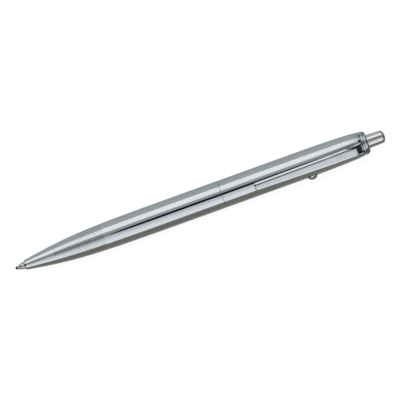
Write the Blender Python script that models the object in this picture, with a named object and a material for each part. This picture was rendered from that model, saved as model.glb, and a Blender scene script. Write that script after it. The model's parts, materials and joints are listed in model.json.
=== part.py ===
"""A retractable metal ballpoint pen with a thumb button, a side release button and a clip.

The pen lies as it would on a desk, on its barrel and its side button. Its axis runs along X, with
the writing point at -X and the thumb button at +X, and the point is out. Places along the axis are
stations: metres behind the front of the writing ball. Round pieces are turned about the axis.
"""

import math

import bmesh
import bpy
from mathutils import Matrix

# Shells that show
POINT_REACH = 0.0034          # writing ball to the nose rim
FRONT_LENGTH = 0.0693         # nose rim to the joint
MECHANISM_LENGTH = 0.0328     # refill's rear end to the cap's rear end
RING_LENGTH = 0.00195
BUTTON_REACH = 0.0060         # thumb button behind the end ring, latched
SEAM = 0.00015                # groove at the joint and before the end ring
SEAM_CHAMFER = 0.00008
BARREL_RADIUS = 0.00469
NOSE_RADIUS = 0.00163
NOSE_EDGE = 0.0003
TAPER_LENGTH = 0.0581
TAPER_NOSE_HANDLE = 0.0177
TAPER_REAR_HANDLE = 0.0340
TAPER_SAG = 0.00006           # the nose handle ends this far inside the barrel
CAP_END_RADIUS = 0.0040
CAP_TAPER_LENGTH = 0.0195
CAP_TAPER_FRONT_HANDLE = 0.0040
CAP_TAPER_REAR_HANDLE = 0.0030
CAP_TAPER_DROP = 0.0006       # the rear handle stands this far outside the cap's end
RING_RADIUS = 0.00405
RING_FACE_RADIUS = 0.0035
RING_ROUND_LENGTH = 0.0009

# Grip rings cut in the front barrel
GROOVE_COUNT = 25
GROOVE_PITCH = 0.000713
GROOVE_SETBACK = 0.0107       # nose rim to the first groove
GROOVE_DEPTH = 0.00006

# Walls and fits
JOINT_WALL = 0.00072          # both shells where they take the threaded bush
WIDE_BORE_SETBACK = 0.0310    # nose rim to where the front barrel's bore widens
CAP_WALL = 0.00054
CAP_END_WALL = 0.00055
PRESS_GAP = 0.00005           # between pieces that are pressed or screwed together
NOSE_GAP = 0.00007            # nose round the refill's neck
RUNNING_GAP = 0.0001          # between pieces that slide
LOOSE_GAP = 0.0003

# Joint bush and mechanism sleeve
BUSH_IN_BARREL = 0.0106
BUSH_IN_CAP = 0.0080
BUSH_WALL = 0.00055
SLEEVE_WALL = 0.00038
SLEEVE_FRONT = 0.0108         # side button's centre to the sleeve's front end

# Refill and its spring
BALL_RADIUS = 0.0005
BALL_GAP = 0.00003
LIP_STATION = 0.00035
LIP_WALL = 0.00005
CONE_WAIST_STATION = 0.0015
CONE_WAIST_RADIUS = 0.00083
CONE_LENGTH = 0.0028
SOCKET_LENGTH = 0.0080
SOCKET_TAIL_RADIUS = 0.0005
INK_CHANNEL_RADIUS = 0.0002
NECK_RADIUS = 0.00115
NECK_COLLAR = 0.0009
REFILL_SHOULDER = 0.0186
REFILL_LENGTH = 0.0892
REFILL_RADIUS = 0.0028
REFILL_WALL = 0.0003
REFILL_FRONT_WALL = 0.0006
INK_LENGTH = 0.0480
FLOAT_LENGTH = 0.0040
PLUG_LENGTH = 0.0060
PLUG_HEAD = 0.00095
NOSE_LAND = 0.0056            # length of the guide hole in the nose
SPRING_RADIUS = 0.0017        # to the wire's centre
SPRING_WIRE = 0.00018
SPRING_TURNS = 9

# Thumb button, plunger and latch
RETRACT_STROKE = 0.0052
PRESS_OVERTRAVEL = 0.0008
THUMB_RADIUS = 0.002385
THUMB_END_RADIUS = 0.00222
THUMB_EDGE = 0.00042
THUMB_BORE_DEPTH = 0.0077
THUMB_FLANGE = 0.0008
THUMB_FLANGE_STEP = 0.00045
RING_SPIGOT = 0.00355
STEM_RADIUS = 0.0014
STEM_SPIGOT_RADIUS = 0.0010
CUP_WALL = 0.00025
CUP_FLOOR = 0.0010
CUP_DEPTH = 0.0016
COLLAR_LENGTH = 0.0014

# Side release button on its leaf
BUTTON_SETBACK = 0.0189       # cap's rear end to the side button's centre
BUTTON_RADIUS = 0.00175
BUTTON_DOME = 0.00106
BUTTON_GAP = 0.00025
BUTTON_PRESS = math.radians(5.0)
LATCH_ARM = 0.0064            # leaf's root to the side button's centre
YOKE_SETBACK = 0.0019         # side button's centre to the yoke's front
YOKE_THICKNESS = 0.0004
LATCH_GAP = 0.00008
LEAF_THICKNESS = 0.0002
LEAF_HALF_WIDTH = 0.0008
LEAF_TAIL = 0.0006
ANCHOR_SIDE = 0.00025
ANCHOR_ROOF = 0.00015
ANCHOR_FLOOR = 0.00035
ANCHOR_FRONT = 0.0007
ANCHOR_REAR = 0.0011
SLIT_GAP = 0.00008
RIVET_RADIUS = 0.0005
RIVET_HEAD_RADIUS = 0.0008
RIVET_HEAD = 0.00012
RIVET_DEPTH = 0.0010

# Clip
CLIP_TO_BUTTON = math.radians(68.0)
CLIP_LENGTH = 0.0366
CLIP_ROOT_WIDTH = 0.0037
CLIP_END_WIDTH = 0.0032
CLIP_THICKNESS = 0.00065
CLIP_FLANK = 0.00058          # width and height of each sloped flank
CLIP_LIFT = 0.00021           # barrel to the clip's underside
CLIP_BEND = 0.00075
CLIP_DIP = 0.00042            # how far the clip stoops before it bends into its slot
CLIP_DIP_LENGTH = 0.0105
CLIP_DIP_HANDLE = 0.00038     # how far the stoop's rear handle lies below its front one
CLIP_TANG_END = 0.00295       # the tang's inner end, from the pen's axis
CLIP_SETBACK = 0.0017         # cap's rear end to the middle of the tang
SLOT_LENGTH = 0.0055
SLOT_LIP = 0.0005
SLOT_FRONT_TUCK = 0.00005     # each side of the slot's front lies this far under the clip's edge
SLOT_REAR_MARGIN = 0.0004
SLOT_FRONT_ROUND = 0.0012
POCKET_MARGIN = 0.00015
POCKET_FLOOR_GAP = 0.00012

TURNED_SIDES = 36
SMALL_SIDES = 24
BALL_SIDES = 16
SPRING_STEPS = 12             # straight bits in one turn of the spring
MERGE_DISTANCE = 1e-7

# Stations and radii that follow from the sizes above
NOSE = POINT_REACH
JOINT = NOSE + FRONT_LENGTH
CAP_START = JOINT + SEAM
CAP_END = REFILL_LENGTH + MECHANISM_LENGTH
RING_START = CAP_END + SEAM
RING_END = RING_START + RING_LENGTH
PEN_LENGTH = RING_END + BUTTON_REACH
BUTTON_STATION = CAP_END - BUTTON_SETBACK

JOINT_BORE = BARREL_RADIUS - JOINT_WALL
CAP_BORE = BARREL_RADIUS - CAP_WALL
CAP_REAR_BORE = CAP_END_RADIUS - CAP_END_WALL
BUSH_RADIUS = JOINT_BORE - PRESS_GAP
SLEEVE_RADIUS = CAP_BORE - PRESS_GAP
SLEEVE_BORE = SLEEVE_RADIUS - SLEEVE_WALL
BUSH_START = JOINT - BUSH_IN_BARREL
BUSH_END = CAP_START + BUSH_IN_CAP
SLOT_END = CAP_END - SLOT_LIP
SLOT_START = SLOT_END - SLOT_LENGTH
SPIGOT_START = RING_START - RING_SPIGOT

LEAF_PIVOT = BUTTON_STATION + LATCH_ARM
YOKE_START = BUTTON_STATION - YOKE_SETBACK
YOKE_MIDDLE = YOKE_START + YOKE_THICKNESS / 2
ANCHOR_HALF_WIDTH = LEAF_HALF_WIDTH + ANCHOR_SIDE
SLEEVE_FLAT = SLEEVE_BORE * math.cos(math.pi / TURNED_SIDES)
ANCHOR_TOP = math.sqrt(SLEEVE_FLAT**2 - ANCHOR_HALF_WIDTH**2) - PRESS_GAP
SLIT_TOP = ANCHOR_TOP - ANCHOR_ROOF
LEAF_TOP = SLIT_TOP - SLIT_GAP
LEAF_BOTTOM = LEAF_TOP - LEAF_THICKNESS
SLIT_BOTTOM = LEAF_BOTTOM - SLIT_GAP
ANCHOR_BOTTOM = SLIT_BOTTOM - ANCHOR_FLOOR
RIVET_BOTTOM = LEAF_BOTTOM - PRESS_GAP - RIVET_HEAD
BUTTON_TRAVEL = LATCH_ARM * math.sin(BUTTON_PRESS)
YOKE_TRAVEL = (LEAF_PIVOT - YOKE_MIDDLE) * math.sin(BUTTON_PRESS)
COLLAR_RADIUS = RIVET_BOTTOM - BUTTON_TRAVEL - RUNNING_GAP
COLLAR_END = YOKE_START - PRESS_GAP

FLANGE_END = SPIGOT_START - RETRACT_STROKE - RUNNING_GAP
THUMB_START = FLANGE_END - THUMB_FLANGE
THUMB_BORE = STEM_RADIUS + PRESS_GAP
STEM_END = THUMB_START + THUMB_BORE_DEPTH - RUNNING_GAP

# The dome of the side button is part of a ball. The pen rests on it and on one flat of the barrel.
DOME_BALL = (BUTTON_RADIUS**2 + BUTTON_DOME**2) / (2 * BUTTON_DOME)
DOME_CENTRE = BARREL_RADIUS + BUTTON_DOME - DOME_BALL
REST_HEIGHT = BARREL_RADIUS * math.cos(math.pi / TURNED_SIDES)
BUTTON_TURN = math.pi - math.acos((REST_HEIGHT - DOME_BALL) / DOME_CENTRE)
CLIP_TURN = BUTTON_TURN - CLIP_TO_BUTTON


def clear_scene():
    for item in list(bpy.data.objects):
        bpy.data.objects.remove(item, do_unlink=True)


def finish(name, colour, metallic, roughness):
    """A material with one colour, as the piece's surface would be ordered."""
    material = bpy.data.materials.new(name)
    material.use_nodes = True
    shader = material.node_tree.nodes["Principled BSDF"]
    shader.inputs["Base Color"].default_value = (*colour, 1.0)
    shader.inputs["Metallic"].default_value = metallic
    shader.inputs["Roughness"].default_value = roughness
    return material


def make_empty(name, parent=None, location=(0.0, 0.0, 0.0), turn=0.0):
    """An empty that carries pieces; turn tips its Z from straight up towards -Y."""
    empty = bpy.data.objects.new(name, None)
    bpy.context.collection.objects.link(empty)
    empty.parent = parent
    empty.location = location
    empty.rotation_euler = (turn, 0.0, 0.0)
    return empty


def make_piece(name, bm, material, parent, location=(0.0, 0.0, 0.0)):
    """A named piece from a bmesh whose faces are turned outward, shaded smooth up to 30 degrees."""
    bmesh.ops.remove_doubles(bm, verts=bm.verts, dist=MERGE_DISTANCE)
    bmesh.ops.recalc_face_normals(bm, faces=bm.faces)
    mesh = bpy.data.meshes.new(name)
    bm.to_mesh(mesh)
    bm.free()
    mesh.shade_smooth()
    mesh.set_sharp_from_angle(angle=math.radians(30.0))
    mesh.materials.append(material)
    piece = bpy.data.objects.new(name, mesh)
    bpy.context.collection.objects.link(piece)
    piece.parent = parent
    piece.location = location
    return piece


def make_cutter(name, bm, parent, location=(0.0, 0.0, 0.0)):
    """A closed shape that only cuts: it is left out of the finished pen."""
    cutter = make_piece(name, bm, finish(name, (0.8, 0.2, 0.2), 0.0, 0.5), parent, location)
    cutter.hide_render = True
    cutter.display_type = "WIRE"
    return cutter


def combine(piece, other, operation):
    """Cut the other shape from the piece, or join it on."""
    step = piece.modifiers.new(other.name, "BOOLEAN")
    step.operation = operation
    step.solver = "EXACT"
    step.object = other


def turned_mesh(outline, sides, about="X"):
    """Spin an outline of (distance along the axis, radius) about X or Z.

    An outline whose ends lie on the axis makes a solid; any other is closed and makes a tube.
    """
    bm = bmesh.new()
    corners = [bm.verts.new((along, 0.0, radius)) for along, radius in outline]
    edges = [bm.edges.new(pair) for pair in zip(corners, corners[1:])]
    if outline[0][1] > 0.0 or outline[-1][1] > 0.0:
        edges.append(bm.edges.new((corners[-1], corners[0])))
    bmesh.ops.rotate(bm, verts=corners, matrix=Matrix.Rotation(math.pi / sides, 3, "X"))
    bmesh.ops.spin(
        bm, geom=corners + edges, cent=(0, 0, 0), axis=(1, 0, 0), angle=math.tau, steps=sides,
        use_merge=True,
    )
    if about == "Z":
        bmesh.ops.rotate(bm, verts=bm.verts, matrix=Matrix.Rotation(-math.pi / 2, 3, "Y"))
    return bm


def turned(name, outline, material, parent, sides=TURNED_SIDES):
    return make_piece(name, turned_mesh(outline, sides), material, parent)


def tube(start, end, outer, inner=0.0):
    """Outline of a plain tube, or of a solid round bar where there is no bore."""
    return [(start, inner), (start, outer), (end, outer), (end, inner)]


def block_mesh(low, high):
    bm = bmesh.new()
    bmesh.ops.create_cube(bm, size=1.0)
    for vertex in bm.verts:
        for axis in range(3):
            vertex.co[axis] = high[axis] if vertex.co[axis] > 0 else low[axis]
    return bm


def arc(centre, radii, start, end, steps):
    """Points along part of an ellipse, as (station, radius)."""
    angles = [start + (end - start) * i / steps for i in range(steps + 1)]
    return [(centre[0] + radii[0] * math.cos(a), centre[1] + radii[1] * math.sin(a)) for a in angles]


def bezier(points, t):
    """A point on the cubic curve through four control points."""
    a, b, c, d = points
    weights = ((1 - t) ** 3, 3 * t * (1 - t) ** 2, 3 * t**2 * (1 - t), t**3)
    return tuple(sum(w * p[k] for w, p in zip(weights, (a, b, c, d))) for k in (0, 1))


def curve_points(points, steps):
    return [bezier(points, i / steps) for i in range(steps + 1)]


def radius_at(points, station):
    """Radius of a cubic outline at a station, found by halving."""
    low, high = 0.0, 1.0
    for _ in range(40):
        middle = (low + high) / 2
        if bezier(points, middle)[0] < station:
            low = middle
        else:
            high = middle
    return bezier(points, low)[1]


def make_front_barrel(parent, material):
    """The long front shell: rounded nose rim, slender taper and a band of fine grip rings."""
    hole = NECK_RADIUS + NOSE_GAP
    edge = min(NOSE_EDGE, NOSE_RADIUS - hole - PRESS_GAP)
    taper = (
        (NOSE, NOSE_RADIUS),
        (NOSE + TAPER_NOSE_HANDLE, BARREL_RADIUS - TAPER_SAG),
        (NOSE + TAPER_LENGTH - TAPER_REAR_HANDLE, BARREL_RADIUS),
        (NOSE + TAPER_LENGTH, BARREL_RADIUS),
    )
    rim = arc((NOSE + edge, radius_at(taper, NOSE + edge) - edge), (edge, edge), math.pi, math.pi / 2, 4)
    first = NOSE + GROOVE_SETBACK
    last = first + (GROOVE_COUNT - 1) * GROOVE_PITCH
    rings = []
    for i in range(GROOVE_COUNT):
        station = first + i * GROOVE_PITCH
        crest = station - GROOVE_PITCH / 2
        rings.append((crest, radius_at(taper, crest)))
        rings.append((station, radius_at(taper, station) - GROOVE_DEPTH))
    rings.append((last + GROOVE_PITCH / 2, radius_at(taper, last + GROOVE_PITCH / 2)))
    smooth = curve_points(taper, 17)
    ahead = [p for p in smooth if NOSE + 2 * edge < p[0] < rings[0][0] - GROOVE_PITCH]
    behind = [p for p in smooth if p[0] > rings[-1][0] + GROOVE_PITCH]
    chamber = SPRING_RADIUS + SPRING_WIRE + RUNNING_GAP
    bore = REFILL_RADIUS + LOOSE_GAP
    bore_start = REFILL_SHOULDER - PRESS_OVERTRAVEL - 2 * RUNNING_GAP
    outline = [(NOSE, hole)] + rim + ahead + rings + behind
    outline += [(JOINT - SEAM_CHAMFER, BARREL_RADIUS), (JOINT, BARREL_RADIUS - SEAM_CHAMFER)]
    outline += [(JOINT, JOINT_BORE), (NOSE + WIDE_BORE_SETBACK, JOINT_BORE)]
    outline += [(NOSE + WIDE_BORE_SETBACK, bore), (bore_start, bore)]
    outline += [(bore_start, chamber), (NOSE + NOSE_LAND, chamber), (NOSE + NOSE_LAND, hole)]
    return turned("front_barrel", outline, material, parent)


def cap_taper():
    return (
        (CAP_END - CAP_TAPER_LENGTH, BARREL_RADIUS),
        (CAP_END - CAP_TAPER_LENGTH + CAP_TAPER_FRONT_HANDLE, BARREL_RADIUS),
        (CAP_END - CAP_TAPER_REAR_HANDLE, CAP_END_RADIUS + CAP_TAPER_DROP),
        (CAP_END, CAP_END_RADIUS),
    )


def slot_mesh():
    """Prism through the cap's wall: half an ellipse in front, from which it widens to a square end."""
    front_half = CLIP_ROOT_WIDTH / 2 - SLOT_FRONT_TUCK
    rear_half = CLIP_ROOT_WIDTH / 2 + SLOT_REAR_MARGIN
    front = arc((SLOT_START + SLOT_FRONT_ROUND, 0.0), (SLOT_FRONT_ROUND, front_half),
                math.pi / 2, 3 * math.pi / 2, 12)
    corners = front + [(SLOT_END, -rear_half), (SLOT_END, rear_half)]
    bm = bmesh.new()
    base = bm.faces.new([bm.verts.new((s, w, STEM_RADIUS)) for s, w in corners])
    grown = bmesh.ops.extrude_face_region(bm, geom=[base])
    top = [item for item in grown["geom"] if isinstance(item, bmesh.types.BMVert)]
    bmesh.ops.translate(bm, verts=top, vec=(0.0, 0.0, BARREL_RADIUS))
    return bm


def button_hole_mesh():
    """Round cutter for the side button's hole, along the button's own radius."""
    bore = BUTTON_RADIUS + BUTTON_GAP
    return turned_mesh(tube(STEM_RADIUS, 2 * BARREL_RADIUS, bore), TURNED_SIDES, about="Z")


def make_cap(parent, clip_frame, button_frame, material):
    """The rear shell, drawn in at its end, with the clip's slot and the side button's hole."""
    outline = [(CAP_START, JOINT_BORE), (CAP_START, BARREL_RADIUS - SEAM_CHAMFER)]
    outline += [(CAP_START + SEAM_CHAMFER, BARREL_RADIUS)]
    outline += curve_points(cap_taper(), 12)
    outline += [(CAP_END, CAP_REAR_BORE), (SPIGOT_START - LOOSE_GAP, CAP_REAR_BORE)]
    outline += [(SPIGOT_START - LOOSE_GAP, CAP_BORE), (BUSH_END + LOOSE_GAP, CAP_BORE)]
    outline += [(BUSH_END + LOOSE_GAP, JOINT_BORE)]
    cap = turned("cap_tube", outline, material, parent)
    slot = make_cutter("clip_slot_cutter", slot_mesh(), clip_frame)
    hole = make_cutter("button_hole_cutter", button_hole_mesh(), button_frame, (BUTTON_STATION, 0.0, 0.0))
    combine(cap, slot, "DIFFERENCE")
    combine(cap, hole, "DIFFERENCE")
    return hole


def make_end_ring(parent, clip_frame, material):
    """The ring behind the cap. Its spigot closes the cap, guides the thumb button and holds the clip."""
    bore = THUMB_RADIUS + RUNNING_GAP
    spigot = CAP_REAR_BORE - PRESS_GAP
    rounding = arc((RING_END - RING_ROUND_LENGTH, RING_FACE_RADIUS),
                   (RING_ROUND_LENGTH, RING_RADIUS - RING_FACE_RADIUS), math.pi / 2, 0.0, 6)
    outline = [(SPIGOT_START, bore), (SPIGOT_START, spigot), (RING_START, spigot)]
    outline += [(RING_START, RING_RADIUS - SEAM_CHAMFER), (RING_START + SEAM_CHAMFER, RING_RADIUS)]
    outline += rounding + [(RING_END, bore)]
    ring = turned("end_ring", outline, material, parent)
    middle = CAP_END - CLIP_SETBACK
    half_length = CLIP_THICKNESS / 2 + POCKET_MARGIN
    half_width = CLIP_ROOT_WIDTH / 2 + POCKET_MARGIN
    low = (middle - half_length, -half_width, CLIP_TANG_END - POCKET_FLOOR_GAP)
    high = (middle + half_length, half_width, BARREL_RADIUS)
    combine(ring, make_cutter("tang_pocket_cutter", block_mesh(low, high), clip_frame), "DIFFERENCE")


def make_mechanism_sleeve(parent, hole, material):
    """Brass tube inside the cap, which carries the latch. The side button passes through its wall."""
    start = BUTTON_STATION - SLEEVE_FRONT
    end = SLOT_START - LOOSE_GAP
    sleeve = turned("mechanism_sleeve", tube(start, end, SLEEVE_RADIUS, SLEEVE_BORE), material, parent)
    combine(sleeve, hole, "DIFFERENCE")


def make_refill(parent, materials):
    """The pressurised refill: tube, neck, point, rolling ball, ink, float and end plug."""
    seat = BALL_RADIUS + BALL_GAP
    lip_angle = math.acos((BALL_RADIUS - LIP_STATION) / seat)
    channel_angle = math.asin(INK_CHANNEL_RADIUS / seat)
    cup = arc((BALL_RADIUS, 0.0), (seat, seat), channel_angle, math.pi - lip_angle, 6)
    cone_end = CONE_LENGTH + LOOSE_GAP
    outline = cup + [(LIP_STATION, cup[-1][1] + LIP_WALL), (CONE_WAIST_STATION, CONE_WAIST_RADIUS)]
    outline += [(CONE_LENGTH, NECK_RADIUS), (cone_end, NECK_RADIUS), (cone_end, SOCKET_TAIL_RADIUS)]
    outline += [(SOCKET_LENGTH, SOCKET_TAIL_RADIUS), (SOCKET_LENGTH, INK_CHANNEL_RADIUS)]
    turned("point_socket", outline, materials["steel"], parent, SMALL_SIDES)

    ball = arc((0.0, 0.0), (BALL_RADIUS, BALL_RADIUS), math.pi, 0.0, BALL_SIDES // 2)
    ball[0] = (-BALL_RADIUS, 0.0)
    ball[-1] = (BALL_RADIUS, 0.0)
    make_piece("writing_ball", turned_mesh(ball, BALL_SIDES), materials["carbide"], parent,
               (BALL_RADIUS, 0.0, 0.0))

    neck_start = cone_end + PRESS_GAP
    front_wall_end = REFILL_SHOULDER + REFILL_FRONT_WALL
    collar_start = front_wall_end + PRESS_GAP
    inner = REFILL_RADIUS - REFILL_WALL
    fitted = inner - PRESS_GAP
    neck_bore = SOCKET_TAIL_RADIUS + PRESS_GAP
    outline = [(neck_start, neck_bore), (neck_start, NECK_RADIUS), (collar_start, NECK_RADIUS)]
    outline += [(collar_start, fitted), (collar_start + NECK_COLLAR, fitted)]
    outline += [(collar_start + NECK_COLLAR, neck_bore)]
    turned("refill_neck", outline, materials["brass"], parent, SMALL_SIDES)

    tube_end = REFILL_LENGTH - PLUG_HEAD - PRESS_GAP
    outline = [(REFILL_SHOULDER, NECK_RADIUS + PRESS_GAP), (REFILL_SHOULDER, REFILL_RADIUS - REFILL_WALL)]
    outline += [(REFILL_SHOULDER + REFILL_WALL, REFILL_RADIUS), (tube_end, REFILL_RADIUS)]
    outline += [(tube_end, inner), (front_wall_end, inner), (front_wall_end, NECK_RADIUS + PRESS_GAP)]
    turned("refill_tube", outline, materials["refill"], parent, SMALL_SIDES)

    ink_start = collar_start + NECK_COLLAR + PRESS_GAP
    ink_end = ink_start + INK_LENGTH
    turned("ink_column", tube(ink_start, ink_end, fitted), materials["ink"], parent, SMALL_SIDES)

    float_start = ink_end + PRESS_GAP
    float_end = float_start + FLOAT_LENGTH
    dish = FLOAT_LENGTH / 2
    outline = [(float_start, 0.0), (float_start, fitted), (float_end, fitted)]
    outline += [(float_end, fitted / 2), (float_end - dish, fitted / 2), (float_end - dish, 0.0)]
    turned("refill_float", outline, materials["plastic"], parent, SMALL_SIDES)

    plug_start = tube_end - PLUG_LENGTH
    head_start = REFILL_LENGTH - PLUG_HEAD
    outline = [(plug_start, 0.0), (plug_start, fitted), (head_start, fitted), (head_start, REFILL_RADIUS)]
    outline += [(REFILL_LENGTH, REFILL_RADIUS), (REFILL_LENGTH, 0.0)]
    turned("refill_end_plug", outline, materials["plastic"], parent, SMALL_SIDES)


def make_return_spring(parent, material):
    """One wire wound round the refill's neck, between the nose and the refill's shoulder."""
    start = NOSE + NOSE_LAND + SPRING_WIRE + PRESS_GAP
    end = REFILL_SHOULDER - SPRING_WIRE - PRESS_GAP
    steps = SPRING_TURNS * SPRING_STEPS
    curve = bpy.data.curves.new("return_spring", "CURVE")
    curve.dimensions = "3D"
    curve.bevel_depth = SPRING_WIRE
    curve.bevel_resolution = 1
    curve.use_fill_caps = True
    wire = curve.splines.new("POLY")
    wire.points.add(steps)
    for i, point in enumerate(wire.points):
        turn = math.tau * SPRING_TURNS * i / steps
        station = start + (end - start) * i / steps
        point.co = (station, SPRING_RADIUS * math.cos(turn), SPRING_RADIUS * math.sin(turn), 1.0)
    curve.materials.append(material)
    spring = bpy.data.objects.new("return_spring", curve)
    bpy.context.collection.objects.link(spring)
    spring.parent = parent


def make_plunger(parent, materials):
    """What the thumb pushes: button, stem, the collar that latches and the cup on the refill."""
    edge_start = PEN_LENGTH - THUMB_EDGE
    flange = THUMB_RADIUS + THUMB_FLANGE_STEP
    bore_end = THUMB_START + THUMB_BORE_DEPTH
    edge = arc((edge_start, THUMB_END_RADIUS - THUMB_EDGE), (THUMB_EDGE, THUMB_EDGE), math.pi / 2, 0.0, 5)
    outline = [(bore_end, 0.0), (bore_end, THUMB_BORE), (THUMB_START, THUMB_BORE)]
    outline += [(THUMB_START, flange), (FLANGE_END, flange), (FLANGE_END, THUMB_RADIUS)]
    outline += [(RING_END, THUMB_RADIUS)] + edge + [(PEN_LENGTH, 0.0)]
    turned("thumb_button", outline, materials["chrome"], parent)

    floor_start = REFILL_LENGTH + RUNNING_GAP
    floor_end = floor_start + CUP_FLOOR
    skirt_start = REFILL_LENGTH - CUP_DEPTH
    skirt = REFILL_RADIUS + PRESS_GAP
    hole = STEM_SPIGOT_RADIUS + PRESS_GAP
    outline = [(floor_start, hole), (floor_start, skirt), (skirt_start, skirt)]
    outline += [(skirt_start, skirt + CUP_WALL), (floor_end, skirt + CUP_WALL), (floor_end, hole)]
    turned("refill_cup", outline, materials["brass"], parent, SMALL_SIDES)

    shoulder = floor_end + PRESS_GAP
    outline = [(floor_start, 0.0), (floor_start, STEM_SPIGOT_RADIUS), (shoulder, STEM_SPIGOT_RADIUS)]
    outline += [(shoulder, STEM_RADIUS), (STEM_END, STEM_RADIUS), (STEM_END, 0.0)]
    turned("plunger_stem", outline, materials["steel"], parent, SMALL_SIDES)

    collar = tube(COLLAR_END - COLLAR_LENGTH, COLLAR_END, COLLAR_RADIUS, STEM_RADIUS + PRESS_GAP)
    turned("latch_collar", collar, materials["steel"], parent, SMALL_SIDES)


def shifted(bm, vector):
    bmesh.ops.translate(bm, verts=bm.verts, vec=vector)
    return bm


def make_latch(button_frame, materials):
    """The side button on its leaf. The leaf's yoke stands behind the collar and holds the point out.

    Heights here run from the pen's axis towards the side button; every piece has its origin at the
    leaf's root, where the leaf bends.
    """
    root_height = (LEAF_TOP + LEAF_BOTTOM) / 2
    root = make_empty("leaf_root", button_frame, (LEAF_PIVOT, 0.0, root_height))
    to_root = (-LEAF_PIVOT, 0.0, -root_height)

    hole_near = COLLAR_RADIUS + YOKE_TRAVEL + RUNNING_GAP
    hole_far = COLLAR_RADIUS + LATCH_GAP
    hole_radius = (hole_near + hole_far) / 2
    plate_near = LEAF_TOP
    plate_far = SLEEVE_FLAT - YOKE_TRAVEL - PRESS_GAP
    plate_radius = (plate_near + plate_far) / 2
    plate = turned_mesh(tube(YOKE_START, YOKE_START + YOKE_THICKNESS, plate_radius), SMALL_SIDES)
    plate = shifted(plate, (0.0, 0.0, (plate_near - plate_far) / 2))
    leaf = make_piece("latch_leaf", shifted(plate, to_root), materials["spring"], root)
    low = (YOKE_MIDDLE, -LEAF_HALF_WIDTH, LEAF_BOTTOM)
    high = (LEAF_PIVOT + LEAF_TAIL, LEAF_HALF_WIDTH, LEAF_TOP)
    strip = make_cutter("leaf_strip", shifted(block_mesh(low, high), to_root), root)
    opening = tube(YOKE_START - YOKE_THICKNESS, YOKE_START + 2 * YOKE_THICKNESS, hole_radius)
    opening = shifted(turned_mesh(opening, SMALL_SIDES), (0.0, 0.0, (hole_near - hole_far) / 2))
    window = make_cutter("yoke_window_cutter", shifted(opening, to_root), root)
    eye = turned_mesh(tube(RIVET_BOTTOM, BARREL_RADIUS, RIVET_RADIUS + PRESS_GAP), SMALL_SIDES, about="Z")
    eye = shifted(shifted(eye, (BUTTON_STATION, 0.0, 0.0)), to_root)
    combine(leaf, strip, "UNION")
    combine(leaf, window, "DIFFERENCE")
    combine(leaf, make_cutter("rivet_eye_cutter", eye, root), "DIFFERENCE")

    base = LEAF_TOP + PRESS_GAP
    hole = RIVET_RADIUS + PRESS_GAP
    dome = arc((DOME_CENTRE, 0.0), (DOME_BALL, DOME_BALL),
               math.asin(BUTTON_RADIUS / DOME_BALL), 0.0, 8)
    dome[-1] = (DOME_CENTRE + DOME_BALL, 0.0)
    outline = [(base + RIVET_DEPTH, 0.0), (base + RIVET_DEPTH, hole), (base, hole)]
    outline += [(base, BUTTON_RADIUS)] + dome
    button = shifted(turned_mesh(outline, SMALL_SIDES, about="Z"), (BUTTON_STATION, 0.0, 0.0))
    make_piece("release_button", shifted(button, to_root), materials["chrome"], root)

    head_top = LEAF_BOTTOM - PRESS_GAP
    outline = [(RIVET_BOTTOM, 0.0), (RIVET_BOTTOM, RIVET_HEAD_RADIUS), (head_top, RIVET_HEAD_RADIUS)]
    outline += [(head_top, RIVET_RADIUS), (base + RIVET_DEPTH - PRESS_GAP, RIVET_RADIUS)]
    outline += [(base + RIVET_DEPTH - PRESS_GAP, 0.0)]
    rivet = shifted(turned_mesh(outline, SMALL_SIDES, about="Z"), (BUTTON_STATION, 0.0, 0.0))
    make_piece("button_rivet", shifted(rivet, to_root), materials["steel"], root)

    low = (LEAF_PIVOT - ANCHOR_FRONT, -ANCHOR_HALF_WIDTH, ANCHOR_BOTTOM)
    high = (LEAF_PIVOT + ANCHOR_REAR, ANCHOR_HALF_WIDTH, ANCHOR_TOP)
    anchor = make_piece("leaf_anchor", block_mesh(low, high), materials["brass"], button_frame)
    low = (low[0] - LOOSE_GAP, -LEAF_HALF_WIDTH - SLIT_GAP, SLIT_BOTTOM)
    high = (LEAF_PIVOT + LEAF_TAIL + SLIT_GAP, LEAF_HALF_WIDTH + SLIT_GAP, SLIT_TOP)
    combine(anchor, make_cutter("anchor_slit_cutter", block_mesh(low, high), button_frame), "DIFFERENCE")


def clip_route():
    """Middle line of the clip's strip as (station, height): straight, stooping, bent, into its tang."""
    tang = CAP_END - CLIP_SETBACK
    height = BARREL_RADIUS + CLIP_LIFT + CLIP_THICKNESS / 2
    bend_start = tang - CLIP_BEND
    dip_start = bend_start - CLIP_DIP_LENGTH
    free_end = tang + CLIP_THICKNESS / 2 - CLIP_LENGTH
    route = [(free_end + (dip_start - free_end) * i / 4, height) for i in range(4)]
    third = CLIP_DIP_LENGTH / 3
    stoop = ((dip_start, height), (dip_start + third, height),
             (bend_start - third, height - CLIP_DIP_HANDLE), (bend_start, height - CLIP_DIP))
    route += curve_points(stoop, 8)[:-1]
    route += arc((bend_start, height - CLIP_DIP - CLIP_BEND), (CLIP_BEND, CLIP_BEND), math.pi / 2, 0.0, 6)
    route.append((tang, CLIP_TANG_END))
    return route


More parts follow.
